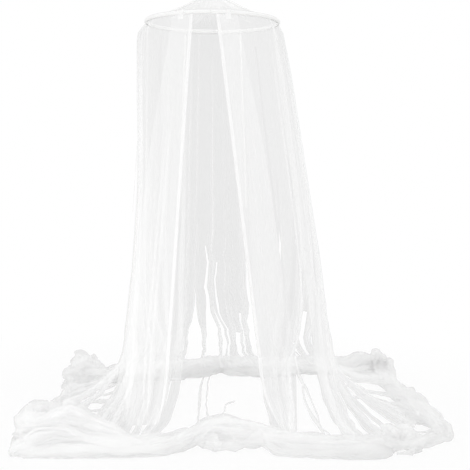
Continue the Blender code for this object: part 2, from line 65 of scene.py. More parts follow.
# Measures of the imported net, in metres
HOOP_Z = -0.25
HOOP_R = 0.300
CASING_R = 0.0088
TOP_Z = HOOP_Z - 0.0082  # where the cloth comes out of the casing
FLOOR_Z = -2.04
FOOT_H = 0.30  # height at which the wall ends and the cloth runs out over the floor
FOOT_RIGHT, FOOT_LEFT, FOOT_FRONT, FOOT_REAR = 0.560, 0.400, 0.450, 0.430  # reach of the wall's foot
FOLD_DEPTH = 0.018  # of the solid widths
NET_HALF = 0.0012  # half of their thickness
LEAF_HALF = 0.001  # half of a solid leaf's thickness
LEAF_CLEARANCE = 0.005
LEAF_TOP_GAP = 0.0012  # between the casing and a leaf
LEAF_FOOT_H = 0.340  # height of a leaf's lower edge

REST = 0.004  # lowest that cloth lies over the floor
TINY = 1e-9  # keeps a division from a length of nothing
NOISE_SEED = 1  # without a seed, the noise differs from run to run
noise.seed_set(NOISE_SEED)

# Camera of the photograph
CAMERA_PLACE = (0.108, -4.21, -0.882)
CAMERA_PITCH = 4.57  # degrees down
CAMERA_ROLL = 0.3
FOCAL_PX = 912.0
PICTURE_PX = 470.0
SENSOR = 36.0


# Small helpers

def mix(a, b, t):
    return a + (b - a) * t


def ease(t):
    t = np.clip(t, 0.0, 1.0)
    return t * t * (3 - 2 * t)


def triangle(phase):
    """A wave with flat legs and nearly sharp turns, so that creases read as lines."""
    return np.arcsin(0.96 * np.sin(phase)) / np.arcsin(0.96)


def smooth_random(rng, count, step, low, high):
    """Random numbers that drift over so many places."""
    knots = rng.uniform(low, high, max(int(count / step) + 3, 4))
    return np.interp(np.arange(count) / step, np.arange(len(knots)), knots)


def pleat_columns(sizes, per):
    """For pleats of uneven size with so many columns each: their sizes and edges as shares of the cloth, the share
    at each column, and its phase."""
    sizes = sizes / sizes.sum()
    count = len(sizes)
    edges = np.concatenate([[0.0], np.cumsum(sizes)])
    steps = np.arange(per) / per
    s = np.concatenate([edges[i] + steps * sizes[i] for i in range(count)] + [[1.0]])
    phase = 2 * np.pi * np.concatenate([i + steps for i in range(count)] + [[count]])
    return sizes, edges, s, phase


def turbulence(points, scale, octaves, shift):
    """Vector noise at each point."""
    offset = Vector((shift, shift * 1.7, -shift))
    flat = np.asarray(points).reshape(-1, 3)
    out = np.empty_like(flat)
    for i, p in enumerate(flat):
        out[i] = noise.turbulence_vector(Vector(p * scale) + offset, octaves, False)
    return out.reshape(np.shape(points))


def grid_mesh(name, parts, materials, smooth=False):
    """One mesh from grids of points, each with its uv in metres of cloth, the faces to keep and their slot."""
    points, coords, faces, slots = [], [], [], []
    base = 0
    for part in parts:
        grid, uv = part["grid"], part["uv"]
        rows, cols = grid.shape[:2]
        index = base + np.arange(rows * cols).reshape(rows, cols)
        quads = np.stack([index[:-1, :-1], index[:-1, 1:], index[1:, 1:], index[1:, :-1]], axis=-1)
        keep = part.get("keep", np.ones(quads.shape[:2], bool))
        slot = np.broadcast_to(part.get("slot", 0), quads.shape[:2])
        points.append(grid.reshape(-1, 3))
        coords.append(uv.reshape(-1, 2))
        faces.append(quads[keep])
        slots.append(slot[keep])
        base += rows * cols
    points, coords = np.concatenate(points), np.concatenate(coords)
    faces, slots = np.concatenate(faces), np.concatenate(slots)
    used = np.unique(faces)
    renumber = np.full(len(points), -1)
    renumber[used] = np.arange(len(used))
    faces = renumber[faces]
    mesh = bpy.data.meshes.new(name)
    mesh.from_pydata(points[used].tolist(), [], faces.tolist())
    layer = mesh.uv_layers.new(name="cloth")
    layer.data.foreach_set("uv", coords[used][faces.ravel()].astype(np.float32).ravel())
    for stuff in materials:
        mesh.materials.append(stuff)
    mesh.polygons.foreach_set("material_index", slots.astype(np.int32))
    if smooth:
        mesh.shade_smooth()
    thing = bpy.data.objects.new(name, mesh)
    bpy.context.scene.collection.objects.link(thing)
    return thing


# Materials

def set_inputs(made, inputs):
    """Puts values on a node's sockets."""
    for key, value in inputs.items():
        made.inputs[key].default_value = value


def node(tree, kind, inputs=None, **values):
    """A new shader node with these settings, and these values on its sockets."""
    made = tree.nodes.new(kind)
    for key, value in values.items():
        setattr(made, key, value)
    set_inputs(made, inputs or {})
    return made


def link(tree, source, output, target, socket):
    tree.links.new(source.outputs[output], target.inputs[socket])


def principled(name, colour, roughness):
    """A new material with its tree, its main shader and the coordinates for its pattern."""
    made = bpy.data.materials.new(name)
    made.use_nodes = True
    tree = made.node_tree
    shader = tree.nodes["Principled BSDF"]
    set_inputs(shader, {"Base Color": (*colour, 1.0), "Roughness": roughness})
    return made, tree, shader, node(tree, "ShaderNodeTexCoord")


def bump_from(tree, source, shader, strength, distance):
    """Fine relief that follows a pattern."""
    bump = node(tree, "ShaderNodeBump", {"Strength": strength, "Distance": distance})
    link(tree, source, "Fac", bump, "Height")
    link(tree, bump, "Normal", shader, "Normal")


def net_material(name, colour, alpha_low, alpha_high, pitch):
    """Knitted polyester net: small holes in rows, with threads that catch the light."""
    made, tree, shader, coords = principled(name, colour, 0.75)
    spread = node(tree, "ShaderNodeMapping", {"Scale": (1 / pitch, 1 / (pitch * 0.8), 1.0)})
    link(tree, coords, "UV", spread, "Vector")
    holes = node(tree, "ShaderNodeTexVoronoi", {"Scale": 1.0, "Randomness": 0.25},
                 voronoi_dimensions="2D", feature="F1")
    link(tree, spread, "Vector", holes, "Vector")
    threads = node(tree, "ShaderNodeMapRange",
                   {"From Min": 0.30, "From Max": 0.62, "To Min": alpha_low, "To Max": alpha_high})
    link(tree, holes, "Distance", threads, "Value")
    link(tree, threads, "Result", shader, "Alpha")
    set_inputs(shader, {"Sheen Weight": 0.25, "Sheen Roughness": 0.4, "Specular IOR Level": 0.1})
    return made


def tape_material():
    """Woven polyester tape: a fine twill with a little unevenness."""
    made, tree, shader, coords = principled("tape_weave", (0.90, 0.90, 0.895), 0.8)
    twill = node(tree, "ShaderNodeTexWave", {"Scale": 420.0, "Distortion": 0.6},
                 wave_type="BANDS", bands_direction="DIAGONAL")
    link(tree, coords, "Object", twill, "Vector")
    tint = node(tree, "ShaderNodeMixRGB", {"Color1": (0.90, 0.90, 0.895, 1), "Color2": (0.97, 0.97, 0.965, 1)})
    link(tree, twill, "Fac", tint, "Fac")
    link(tree, tint, "Color", shader, "Base Color")
    bump_from(tree, twill, shader, 0.35, 0.0004)
    set_inputs(shader, {"Sheen Weight": 0.15, "Specular IOR Level": 0.2})
    return made


def metal_material():
    """Nickel-plated steel with fine turning marks."""
    made, tree, shader, coords = principled("plated_steel", (0.74, 0.74, 0.73), 0.28)
    set_inputs(shader, {"Metallic": 1.0})
    marks = node(tree, "ShaderNodeTexNoise", {"Scale": 180.0, "Detail": 4.0})
    link(tree, coords, "Object", marks, "Vector")
    rough = node(tree, "ShaderNodeMapRange", {"To Min": 0.20, "To Max": 0.42})
    link(tree, marks, "Fac", rough, "Value")
    link(tree, rough, "Result", shader, "Roughness")
    return made


def plastic_material():
    """White moulded plastic with a faint grain."""
    made, tree, shader, coords = principled("moulded_plastic", (0.90, 0.90, 0.89), 0.38)
    grain = node(tree, "ShaderNodeTexNoise", {"Scale": 900.0})
    link(tree, coords, "Object", grain, "Vector")
    bump_from(tree, grain, shader, 0.2, 0.0002)
    return made


NET = net_material("net_weave", (0.985, 0.985, 0.985), 0.12, 0.42, 0.0022)
HEM = net_material("hem_weave", (0.97, 0.97, 0.97), 0.45, 0.80, 0.0011)
TAPE = tape_material()
STEEL = metal_material()
PLASTIC = plastic_material()


# Hanging widths of net

def polar(azimuth, radius):
    """x and y at an azimuth in degrees, counted from the front to the right."""
    turn = np.radians(azimuth)
    return np.stack([radius * np.sin(turn), -radius * np.cos(turn)], axis=-1)


# How far the wall puffs out at each share of the way down, on either side
LEFT_PUFF = ((0, 0.02, 0.06, 0.2, 0.35, 0.5, 0.75, 1), (0, 0.034, 0.036, 0.020, 0.0, -0.014, -0.018, -0.01))
RIGHT_PUFF = ((0, 0.03, 0.15, 0.4, 0.7, 1), (0, 0.016, 0.021, 0.018, 0.012, -0.006))


def wall_radius(azimuth, down):
    """Reach of the wall, with a shoulder where the cloth puffs out under the hoop."""
    turn = np.radians(azimuth)
    reach_x = np.where(np.sin(turn) > 0, FOOT_RIGHT, FOOT_LEFT)
    reach_y = np.where(np.cos(turn) > 0, FOOT_FRONT, FOOT_REAR)
    foot = 1 / np.sqrt((np.sin(turn) / reach_x) ** 2 + (np.cos(turn) / reach_y) ** 2)
    left, right = np.interp(down, *LEFT_PUFF), np.interp(down, *RIGHT_PUFF)
    share = np.sin(turn)
    puff = left * np.minimum(share, 0) ** 2 + right * np.maximum(share, 0) ** 2
    return mix(HOOP_R, foot, down) + puff


# Each width: azimuths at the hoop and powers by which its two edges lean. "opens" is the power by which its bundles
# part on the way down, "early" the share of the gathering into strands that happens right under the hoop, "gathers"
# the power by which the rest of it grows, and "crumple" the depth of creases near the foot. Then its bundles: each
# has its share of the cloth, its azimuths at the foot, the two ends of its landing and how strongly it gathers.
WIDTHS = {
    "front_right_net": {
        "node": "front_right_panel", "hoop": (8, 88), "lean": (1.0, 2.0), "pleats": 36, "seed": 3,
        "opens": 9.0,
        "bundles": [
            (0.20, (28, 45), ((0.30, -0.63), (0.36, -0.645)), 0.45),
            (0.40, (61, 78), ((0.54, -0.64), (0.605, -0.66)), 0.48),
            (0.14, (80, 82), ((0.68, -0.60), (0.80, -0.50)), 0.80),
            (0.26, (84, 88), ((0.86, -0.46), (0.96, -0.20)), 0.85),
        ],
    },
    "rear_right_net": {
        "node": "rear_right_panel", "hoop": (88, 155), "lean": (2.0, 2.0), "pleats": 26, "seed": 5,
        "bundles": [
            (0.12, (88, 94), ((0.93, 0.02), (0.93, 0.12)), 0.7),
            (0.30, (97, 109), ((0.90, 0.30), (0.91, 0.56)), 0.7),
            (0.34, (112, 131), ((0.86, 0.70), (0.74, 0.74)), 0.6),
            (0.24, (134, 154), ((0.70, 0.72), (0.42, 0.68)), 0.6),
        ],
    },
    "rear_net": {
        "node": "rear_panel", "hoop": (155, 207), "lean": (1.6, 1.6), "pleats": 26, "seed": 7,
        "opens": 18.0, "early": 0.10, "gathers": 4.0, "crumple": 0.012,
        "bundles": [
            (0.42, (156, 171.5), ((0.34, 0.66), (0.10, 0.63)), 0.55),
            (0.07, (175.5, 177), ((0.05, 0.62), (0.03, 0.62)), 0.60),
            (0.14, (184, 188), ((-0.04, 0.60), (-0.08, 0.60)), 0.60),
            (0.37, (198, 206), ((-0.21, 0.56), (-0.36, 0.51)), 0.50),
        ],
    },
    "rear_left_net": {
        "node": "rear_left_panel", "hoop": (207, 272), "lean": (2.0, 2.0), "pleats": 24, "seed": 11,
        "bundles": [
            (0.36, (208, 224), ((-0.38, 0.51), (-0.56, 0.45)), 0.6),
            (0.30, (227, 243), ((-0.60, 0.42), (-0.67, 0.32)), 0.6),
            (0.08, (246, 249), ((-0.69, 0.20), (-0.69, 0.12)), 0.8),
            (0.26, (252, 270), ((-0.69, 0.02), (-0.69, -0.16)), 0.8),
        ],
    },
    "front_left_net": {
        "node": "front_left_panel", "hoop": (272, 343), "lean": (2.0, 1.0), "pleats": 38, "seed": 13,
        "bundles": [
            (0.09, (273, 279), ((-0.66, -0.28), (-0.65, -0.38)), 0.90),
            (0.70, (280, 321), ((-0.52, -0.52), (-0.35, -0.64)), 0.35),
            (0.12, (322, 337), ((-0.33, -0.64), (-0.27, -0.64)), 0.50),
            (0.09, (338, 347), ((-0.26, -0.63), (-0.19, -0.61)), 0.60),
        ],
    },
}
# How much cloth hangs at each azimuth of the hoop, against the rest of its width
DENSITY = {
    "front_right_net": ((8, 30, 40, 50, 59, 61, 63, 70, 78, 88),
                        (0.08, 0.10, 0.4, 0.8, 0.9, 3.2, 0.9, 1.5, 2.8, 3.2)),
    "front_left_net": ((272, 286, 294, 304, 309, 311, 313, 317, 322, 343),
                       (3.4, 3.0, 1.3, 0.8, 0.4, 2.4, 0.4, 0.22, 0.09, 0.08)),
    "rear_right_net": ((88, 100, 112, 130, 148, 155), (3.4, 2.8, 1.6, 0.5, 0.3, 0.8)),
    "rear_left_net": ((207, 212, 230, 248, 260, 272), (1.0, 0.4, 0.4, 1.4, 2.8, 3.6)),
    "rear_net": ((155, 170, 185, 195, 207), (1.1, 1.0, 0.9, 1.2, 1.7)),
}
DENSITY_SAMPLES, DENSITY_STEP = 400, 22  # along the hoop, and between changes of its unevenness
GROUP_PLEATS = (2.5, 6.0)  # how many pleats are pushed together at the hoop
COLUMNS_PER_PLEAT = 12
WALL_ROWS = 34
RUN_ROWS = 26
FULLNESS_AT = (0, 1, 1.4)  # shares of the way from the hoop to the wall's foot
FULLNESS = (1.35, 2.2, 2.7)  # the cloth's width there, against the straight cut at the hoop
OPENS, EARLY, GATHERS = 4.0, 0.30, 1.3  # for a width that doesn't give its own
EARLY_BY = 0.12  # share of the wall's height over which the early gathering happens
RUN_OUT, RUN_FALL = 1.7, 1.6  # powers by which the cloth runs out from the wall's foot and comes down
END_H = 0.045  # height of the cloth's end over the floor
STRAND_PLEATS = (1, 4)  # fewest pleats in a strand, and one more than the most
STRAND_PARTS = 0.25  # chance that two strands of a bundle come apart
PLEAT_SPREAD = 0.45  # unevenness of the pleats' sizes
PLEAT_BEGINS, PLEAT_GROWS = (-0.45, 0.22), 0.45  # where pleats begin and how fast they grow, as shares of the wall
LAY_OVER = (62, 86)  # degrees by which a pleat lies over
DEEPEST_PLEAT = 0.034
SMALL_PLEAT = 0.25  # of the small pleats on the large ones
SWAY = 0.16  # how far a pleat wanders on its way down
BULK, BROAD_BULK = 0.011, 0.020  # how far pleats, and groups of them, stand in or out near the foot
LOOSE_SCALE, LOOSE = 9.0, 0.010  # noise that roughens the cloth near the foot
CRUMPLE_SCALE = 12.0  # of the noise in a width with "crumple"
PART_OPEN = 0.006  # gap between neighbouring columns at which two bundles come apart
PART_TIGHT = 0.030  # the same between strands of one bundle
PART_FLOOR = 0.011  # the same below the wall, where the bundles fan out


def hoop_azimuths(name, plan, s, rng):
    """Azimuth at the hoop of each share of the cloth: uneven, in groups of pleats pushed together."""
    fine = np.linspace(*plan["hoop"], DENSITY_SAMPLES)
    weight = np.interp(fine, *DENSITY[name])
    weight = weight * np.exp(smooth_random(rng, DENSITY_SAMPLES, DENSITY_STEP, -0.6, 0.6))
    total = np.cumsum(weight) - weight[0]
    base = np.interp(s, total / total[-1], fine)
    knots = [0.0]
    while knots[-1] < 1:
        knots.append(knots[-1] + rng.uniform(*GROUP_PLEATS) / plan["pleats"])
    knots[-1] = 1.0
    out = base.copy()
    for a, b in zip(knots[:-1], knots[1:]):
        own = (s >= a) & (s <= b)
        u = 2 * (s[own] - a) / (b - a) - 1
        u = np.sign(u) * np.abs(u) ** rng.uniform(1.0, 2.3)
        low, high = np.interp((a, b), s, base)
        out[own] = mix(low, high, (u + 1) / 2)
    return out


def build_width(name, plan):
    """One width of net, pleated from the hoop down to the roll that it ends in."""
    rng = np.random.default_rng(plan["seed"])
    pleats = plan["pleats"]
    sizes, edges, s, phase = pleat_columns(np.exp(rng.normal(0, PLEAT_SPREAD, pleats)), COLUMNS_PER_PLEAT)
    size_of = sizes[np.minimum((phase / (2 * np.pi)).astype(int), pleats - 1)]
    cols = len(s)

    # where each column goes: its bundle's even spread, and the strand that it is drawn to
    bounds = np.cumsum([0.0] + [b[0] for b in plan["bundles"]])
    ends = [int(np.abs(edges - b).argmin()) * COLUMNS_PER_PLEAT for b in bounds]
    ends[-1] = cols
    hoop = hoop_azimuths(name, plan, s, rng)
    even, drawn = np.zeros(cols), np.zeros(cols)
    land = np.zeros((cols, 2))
    part_at = np.full(cols - 1, PART_TIGHT)
    for k, (_, turn, (near, far), draw) in enumerate(plan["bundles"]):
        a, b = ends[k], ends[k + 1]
        q = (hoop[a:b] - hoop[a]) / (hoop[b - 1] - hoop[a])
        even[a:b] = mix(turn[0], turn[1], q)
        begin = a
        while begin < b:
            stop = min(begin + COLUMNS_PER_PLEAT * int(rng.integers(*STRAND_PLEATS)), b)
            if b - stop < COLUMNS_PER_PLEAT:
                stop = b
            own = q[begin - a:stop - a]
            centre = own.mean() + rng.uniform(-0.3, 0.3) * (own[-1] - own[0])
            q[begin - a:stop - a] = mix(own, centre, draw * rng.uniform(0.5, 1.0))
            if stop < b and rng.random() < STRAND_PARTS:
                part_at[stop - 1] = PART_OPEN
            begin = stop
        drawn[a:b] = mix(turn[0], turn[1], q)
        land[a:b] = mix(np.array(near), np.array(far), q[:, None])
        if k:
            part_at[a - 1] = PART_OPEN
    closed = mix(even[0], even[-1], (hoop - hoop[0]) / (hoop[-1] - hoop[0]))
    lean = mix(plan["lean"][0], plan["lean"][1], s)

    # middle surface: wall, then the run to the floor
    down = np.linspace(0, 1, WALL_ROWS + 1)[:, None]
    early = plan.get("early", EARLY)
    gather = early * ease(down / EARLY_BY) + (1 - early) * down ** plan.get("gathers", GATHERS)
    azimuth = mix(hoop, closed, down ** lean) + (even - closed) * down ** plan.get("opens", OPENS)
    azimuth = azimuth + (drawn - even) * gather
    height = np.broadcast_to(mix(TOP_Z, FLOOR_Z + FOOT_H, down), azimuth.shape)
    wall = np.concatenate([polar(azimuth, wall_radius(azimuth, down + 0 * azimuth)), height[..., None]], -1)
    t = np.linspace(0, 1, RUN_ROWS + 1)[1:, None]
    plane = mix(wall[-1, :, :2], land, (t ** RUN_OUT)[..., None])
    end_height = END_H + smooth_random(rng, cols, COLUMNS_PER_PLEAT * 3, -0.015, 0.035)
    height = FLOOR_Z + mix(end_height, FOOT_H, (1 - t) ** RUN_FALL)
    run = np.concatenate([plane, height[..., None]], -1)
    middle = np.concatenate([wall, run], 0)
    rows = len(middle)

    # cloth lengths
    fall = np.concatenate([[0.0], np.cumsum(np.linalg.norm(np.diff(middle, axis=0), axis=-1).mean(1))])
    arc = math.radians(plan["hoop"][1] - plan["hoop"][0]) * HOOP_R
    along = fall / fall[WALL_ROWS]
    width = arc * np.interp(along, FULLNESS_AT, FULLNESS)

    # directions on the surface, worked out strand by strand
    across = np.gradient(middle, axis=1)
    spacing = np.linalg.norm(across, axis=-1)
    across /= np.maximum(spacing[..., None], TINY)
    spacing = np.minimum(spacing, np.median(spacing, axis=1, keepdims=True) * 2) * COLUMNS_PER_PLEAT
    downward = np.gradient(middle, axis=0)
    downward /= np.maximum(np.linalg.norm(downward, axis=-1, keepdims=True), TINY)
    normal = np.cross(downward, across)
    normal /= np.maximum(np.linalg.norm(normal, axis=-1, keepdims=True), TINY)
    facing = np.sign((normal[..., :2] * middle[..., :2]).sum(-1))
    facing[facing == 0] = 1
    normal *= facing[..., None]

    # pleats: each lies over to one side or stands out, and grows downward from its own height
    leg = width[:, None] * size_of[None, :] / 2
    size = np.minimum(0.5 * np.sqrt(np.maximum(leg ** 2 - (spacing / 2) ** 2, 0)), DEEPEST_PLEAT)
    begin = smooth_random(rng, cols, COLUMNS_PER_PLEAT * 1.2, *PLEAT_BEGINS)
    grown = ease((along[:, None] - begin) / PLEAT_GROWS)
    side = np.where(smooth_random(rng, cols, COLUMNS_PER_PLEAT * 2.5, -1, 1) > 0, 1.0, -1.0)
    kernel = np.ones(COLUMNS_PER_PLEAT // 2) / (COLUMNS_PER_PLEAT // 2)
    side = np.convolve(np.pad(side, 20, mode="edge"), kernel, mode="same")[20:-20]
    lay = np.radians(side * smooth_random(rng, cols, COLUMNS_PER_PLEAT * 0.9, *LAY_OVER))
    drift = np.zeros((rows, cols))
    for harmonic in (1, 2, 3):
        turn = smooth_random(rng, cols, COLUMNS_PER_PLEAT * 2, 0, 2 * np.pi)
        drift += SWAY / harmonic * np.sin(along[:, None] * 2.1 * harmonic + turn) * ease(along[:, None] * 1.5)
    wave = triangle(phase[None, :] + drift)
    small = SMALL_PLEAT * triangle(3 * phase[None, :] + 5 * s[None, :] * pleats + 2 * drift)
    shape = (wave + small) * grown
    late, later = ease((along[:, None] - 0.35) / 0.7), ease((along[:, None] - 0.75) / 0.5)
    bulk = smooth_random(rng, cols, COLUMNS_PER_PLEAT * 0.7, -1, 1)[None, :] * BULK * late
    bulk += smooth_random(rng, cols, COLUMNS_PER_PLEAT * 2.3, -1, 1)[None, :] * BROAD_BULK * later
    grid = middle + across * (size * np.sin(lay)[None, :] * shape)[..., None]
    grid += normal * (size * np.cos(lay)[None, :] * shape + bulk)[..., None]
    loose = ease((along - 0.55) / 0.7)[:, None, None]
    grid += turbulence(grid, LOOSE_SCALE, 3, plan["seed"]) * LOOSE * loose
    if "crumple" in plan:
        rough = turbulence(grid, CRUMPLE_SCALE, 3, plan["seed"] + 5) * ease((along - 0.40) / 0.25)[:, None, None]
        grid += across * rough[..., :1] * plan["crumple"] + normal * rough[..., 1:2] * plan["crumple"]
    grid[..., 2] = np.maximum(grid[..., 2], FLOOR_Z + REST)

    # partings, narrow where they begin
    pulled = np.linalg.norm(np.diff(middle, axis=1), axis=-1)
    limit = np.where((along > 1.0)[:, None], np.minimum(part_at, PART_FLOOR)[None, :], part_at[None, :])
    torn = np.logical_or.accumulate(pulled > limit, axis=0)
    uv = np.stack([s[None, :] * width[:, None], np.broadcast_to(-fall[:, None], (rows, cols))], -1)
    thing = grid_mesh(name, [{"grid": grid, "uv": uv, "keep": ~torn[:-1]}], (NET,))
    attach(thing, "net")
    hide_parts(plan["node"])


# Rolls of spare cloth on the floor

def spline(points, count):
    """Smooth samples through control rows of numbers."""
    p = np.asarray(points, float)
    p = np.vstack([2 * p[0] - p[1], p, 2 * p[-1] - p[-2]])
    out = []
    for u in np.linspace(0, len(points) - 1, count):
        i = min(int(u), len(points) - 2)
        t = u - i
        a, b, c, d = p[i], p[i + 1], p[i + 2], p[i + 3]
        bend, twist = 2 * a - 5 * b + 4 * c - d, 3 * b - a - 3 * c + d
        out.append(0.5 * (2 * b + (c - a) * t + bend * t ** 2 + twist * t ** 3))
    return np.array(out)


# Rolls: how many strands, how fast and how loosely they wind, and along the path x, y, lift over the floor and
# radius of the whole roll
ROLLS = {
    "front_roll": {
        "seed": 21, "strands": 8, "twist": 3.5, "loose": 0.15,
        "path": [(-0.780, -0.71, 0.0, 0.012), (-0.745, -0.705, 0.0, 0.034), (-0.67, -0.705, 0.0, 0.058),
                 (-0.56, -0.71, 0.0, 0.072), (-0.44, -0.715, 0.0, 0.062), (-0.30, -0.715, 0.0, 0.054),
                 (-0.17, -0.68, 0.0, 0.048), (-0.07, -0.60, 0.016, 0.047), (0.01, -0.565, 0.030, 0.050),
                 (0.10, -0.575, 0.030, 0.048), (0.20, -0.59, 0.024, 0.047), (0.29, -0.635, 0.008, 0.047),
                 (0.38, -0.668, 0.0, 0.048), (0.48, -0.69, 0.0, 0.050), (0.60, -0.705, 0.0, 0.050),
                 (0.69, -0.71, 0.0, 0.044), (0.735, -0.69, 0.0, 0.022)],
    },
    "front_left_fold": {
        "seed": 25, "strands": 6, "twist": 2.5, "loose": 0.2,
        "path": [(-0.75, -0.63, 0.020, 0.030), (-0.67, -0.645, 0.065, 0.048), (-0.56, -0.645, 0.085, 0.056),
                 (-0.44, -0.65, 0.070, 0.050), (-0.33, -0.67, 0.035, 0.036), (-0.22, -0.68, 0.015, 0.022)],
    },
    "rear_roll": {
        "seed": 22, "strands": 8, "twist": 3.0, "loose": 0.15,
        "path": [(-0.57, 0.49, 0.0, 0.050), (-0.42, 0.53, 0.0, 0.056), (-0.22, 0.59, 0.002, 0.065),
                 (-0.07, 0.63, 0.006, 0.058), (0.04, 0.70, 0.018, 0.053), (0.13, 0.68, 0.010, 0.055),
                 (0.27, 0.655, 0.0, 0.059), (0.50, 0.73, 0.0, 0.058), (0.72, 0.755, 0.004, 0.062),
                 (0.85, 0.775, 0.010, 0.060), (0.93, 0.785, 0.0, 0.036)],
    },
    "left_roll": {
        "seed": 23, "strands": 7, "twist": 3.0, "loose": 0.5,
        "path": [(-0.66, 0.42, 0.0, 0.045), (-0.69, 0.22, 0.0, 0.036), (-0.69, 0.0, 0.0, 0.036),
                 (-0.68, -0.22, 0.0, 0.046), (-0.66, -0.42, 0.0, 0.062), (-0.62, -0.58, 0.0, 0.066)],
    },
    "right_roll": {
        "seed": 24, "strands": 7, "twist": 3.5, "loose": 0.5,
        "path": [(0.91, 0.76, 0.0, 0.052), (0.90, 0.55, 0.0, 0.044), (0.905, 0.30, 0.0, 0.044),
                 (0.93, 0.05, 0.0, 0.046), (0.935, -0.15, 0.0, 0.050), (0.965, -0.30, 0.0, 0.048),
                 (0.995, -0.43, 0.0, 0.043), (0.960, -0.51, 0.0, 0.026), (0.84, -0.57, 0.0, 0.020)],
    },
}

# Heaps: centre, reach in x and y, height, radius of a strand, how many loops, size of the top ones as a share
HEAPS = {
    "front_left_heap": {"seed": 31, "centre": (-0.612, -0.60), "reach": (0.19, 0.13), "height": 0.225,
                        "strand": 0.038, "loops": 20, "top": 0.62},
    "front_right_heap": {"seed": 32, "centre": (0.76, -0.63), "reach": (0.11, 0.07), "height": 0.14,
                         "strand": 0.020, "loops": 14, "top": 0.45},
    "rear_left_heap": {"seed": 33, "centre": (-0.665, 0.43), "reach": (0.11, 0.10), "height": 0.23,
                       "strand": 0.024, "loops": 16, "top": 0.50},
    "rear_right_heap": {"seed": 38, "centre": (0.87, 0.76), "reach": (0.10, 0.06), "height": 0.17,
                        "strand": 0.018, "loops": 9, "top": 0.50},
}
ROLL_STEP = 0.008  # between samples along a roll
ROLL_RING = 48  # faces round a strand of a roll
THINNEST_ROLL = 0.012
HEAP_SAMPLES = 64  # along a loop
HEAP_POINTS = 7  # that a loop is drawn through

# Thin strands that stray from the rolls: radius, then x, y and height over the floor
STRAYS = [
    (0.005, [(-0.03, 0.57, 0.030), (-0.02, 0.20, 0.010), (-0.01, -0.42, 0.060), (-0.01, -0.50, 0.070)]),
    (0.006, [(-0.06, 0.50, 0.040), (-0.05, 0.13, 0.010), (-0.04, -0.38, 0.050), (-0.04, -0.48, 0.060)]),
    (0.005, [(0.06, -0.50, 0.110), (0.07, -0.30, 0.090), (0.08, -0.09, 0.050), (0.10, 0.05, 0.020)]),
    (0.007, [(-0.38, -0.08, 0.150), (-0.50, 0.10, 0.075), (-0.60, 0.13, 0.060), (-0.68, 0.05, 0.050)]),
    (0.008, [(-0.40, -0.06, 0.110), (-0.50, 0.02, 0.060), (-0.58, 0.04, 0.050), (-0.66, -0.09, 0.050)]),
    (0.006, [(-0.40, 0.04, 0.130), (-0.52, 0.15, 0.090), (-0.60, 0.17, 0.080), (-0.69, 0.10, 0.060)]),
    (0.009, [(-0.40, -0.04, 0.080), (-0.48, -0.05, 0.050), (-0.55, -0.03, 0.040), (-0.66, -0.14, 0.050)]),
    (0.008, [(-0.36, -0.22, 0.070), (-0.46, -0.20, 0.050), (-0.56, -0.18, 0.040), (-0.66, -0.28, 0.050)]),
    (0.007, [(0.58, 0.38, 0.100), (0.67, 0.39, 0.060), (0.76, 0.38, 0.040), (0.90, 0.24, 0.050)]),
    (0.006, [(0.58, 0.27, 0.080), (0.66, 0.27, 0.050), (0.75, 0.26, 0.030), (0.91, 0.10, 0.050)]),
    (0.008, [(0.58, 0.06, 0.080), (0.67, 0.08, 0.050), (0.74, 0.05, 0.040), (0.92, -0.10, 0.050)]),
    (0.008, [(0.72, -0.53, 0.080), (0.82, -0.44, 0.030), (0.90, -0.42, 0.020), (0.97, -0.45, 0.040)]),
    (0.009, [(0.70, -0.60, 0.060), (0.80, -0.55, 0.030), (0.88, -0.52, 0.020), (0.96, -0.50, 0.030)]),
    (0.034, [(-0.04, -0.61, 0.050), (0.00, -0.64, 0.040), (0.05, -0.655, 0.034), (0.10, -0.655, 0.034),
             (0.15, -0.645, 0.040), (0.21, -0.62, 0.055)]),  # bulge under the front roll
    (0.006, [(0.36, -0.36, 0.330), (0.39, -0.44, 0.220), (0.44, -0.54, 0.110), (0.48, -0.62, 0.060)]),
    (0.005, [(0.37, -0.34, 0.300), (0.41, -0.42, 0.190), (0.46, -0.50, 0.090), (0.50, -0.60, 0.050)]),
]
STRAY_SEED = 51
STRAY_SAMPLES = 60  # along a strand
STRAY_NOISE = 50  # shift of the first strand's noise
THICK_RING, THIN_RING = 36, 14  # faces round a thick and a thin gathered strand
THIN_STRAND = 0.01  # radius under which a strand is thin
STRAND_TURNS = 1.35  # how far the cloth of a strand is rolled in on itself
STRAND_INNER = 0.45  # radius of its inner edge against that of its outer one


def path_frame(centre):
    """Directions along, to the side of and over a path."""
    ahead = np.gradient(centre, axis=0)
    ahead /= np.maximum(np.linalg.norm(ahead, axis=1, keepdims=True), TINY)
    side = np.cross(ahead, (0, 0, 1.0))
    side /= np.maximum(np.linalg.norm(side, axis=1, keepdims=True), 1e-6)
    return side, np.cross(side, ahead)


def streaks(rng, rows, cols, row_step, col_step):
    """Random numbers from -1 to 1 that run on along the rows and change quickly across them."""
    knots = rng.uniform(-1, 1, (max(int(rows / row_step) + 3, 4), max(int(cols / col_step) + 2, 4)))
    u = np.linspace(0, knots.shape[0] - 1, rows)
    v = np.linspace(0, knots.shape[1] - 1, cols)
    i, j = np.minimum(u.astype(int), knots.shape[0] - 2), np.minimum(v.astype(int), knots.shape[1] - 2)
    a, b = ease(u - i)[:, None], (v - j)[None, :]
    i, j = i[:, None], j[None, :]
    return mix(mix(knots[i, j], knots[i + 1, j], a), mix(knots[i, j + 1], knots[i + 1, j + 1], a), b)


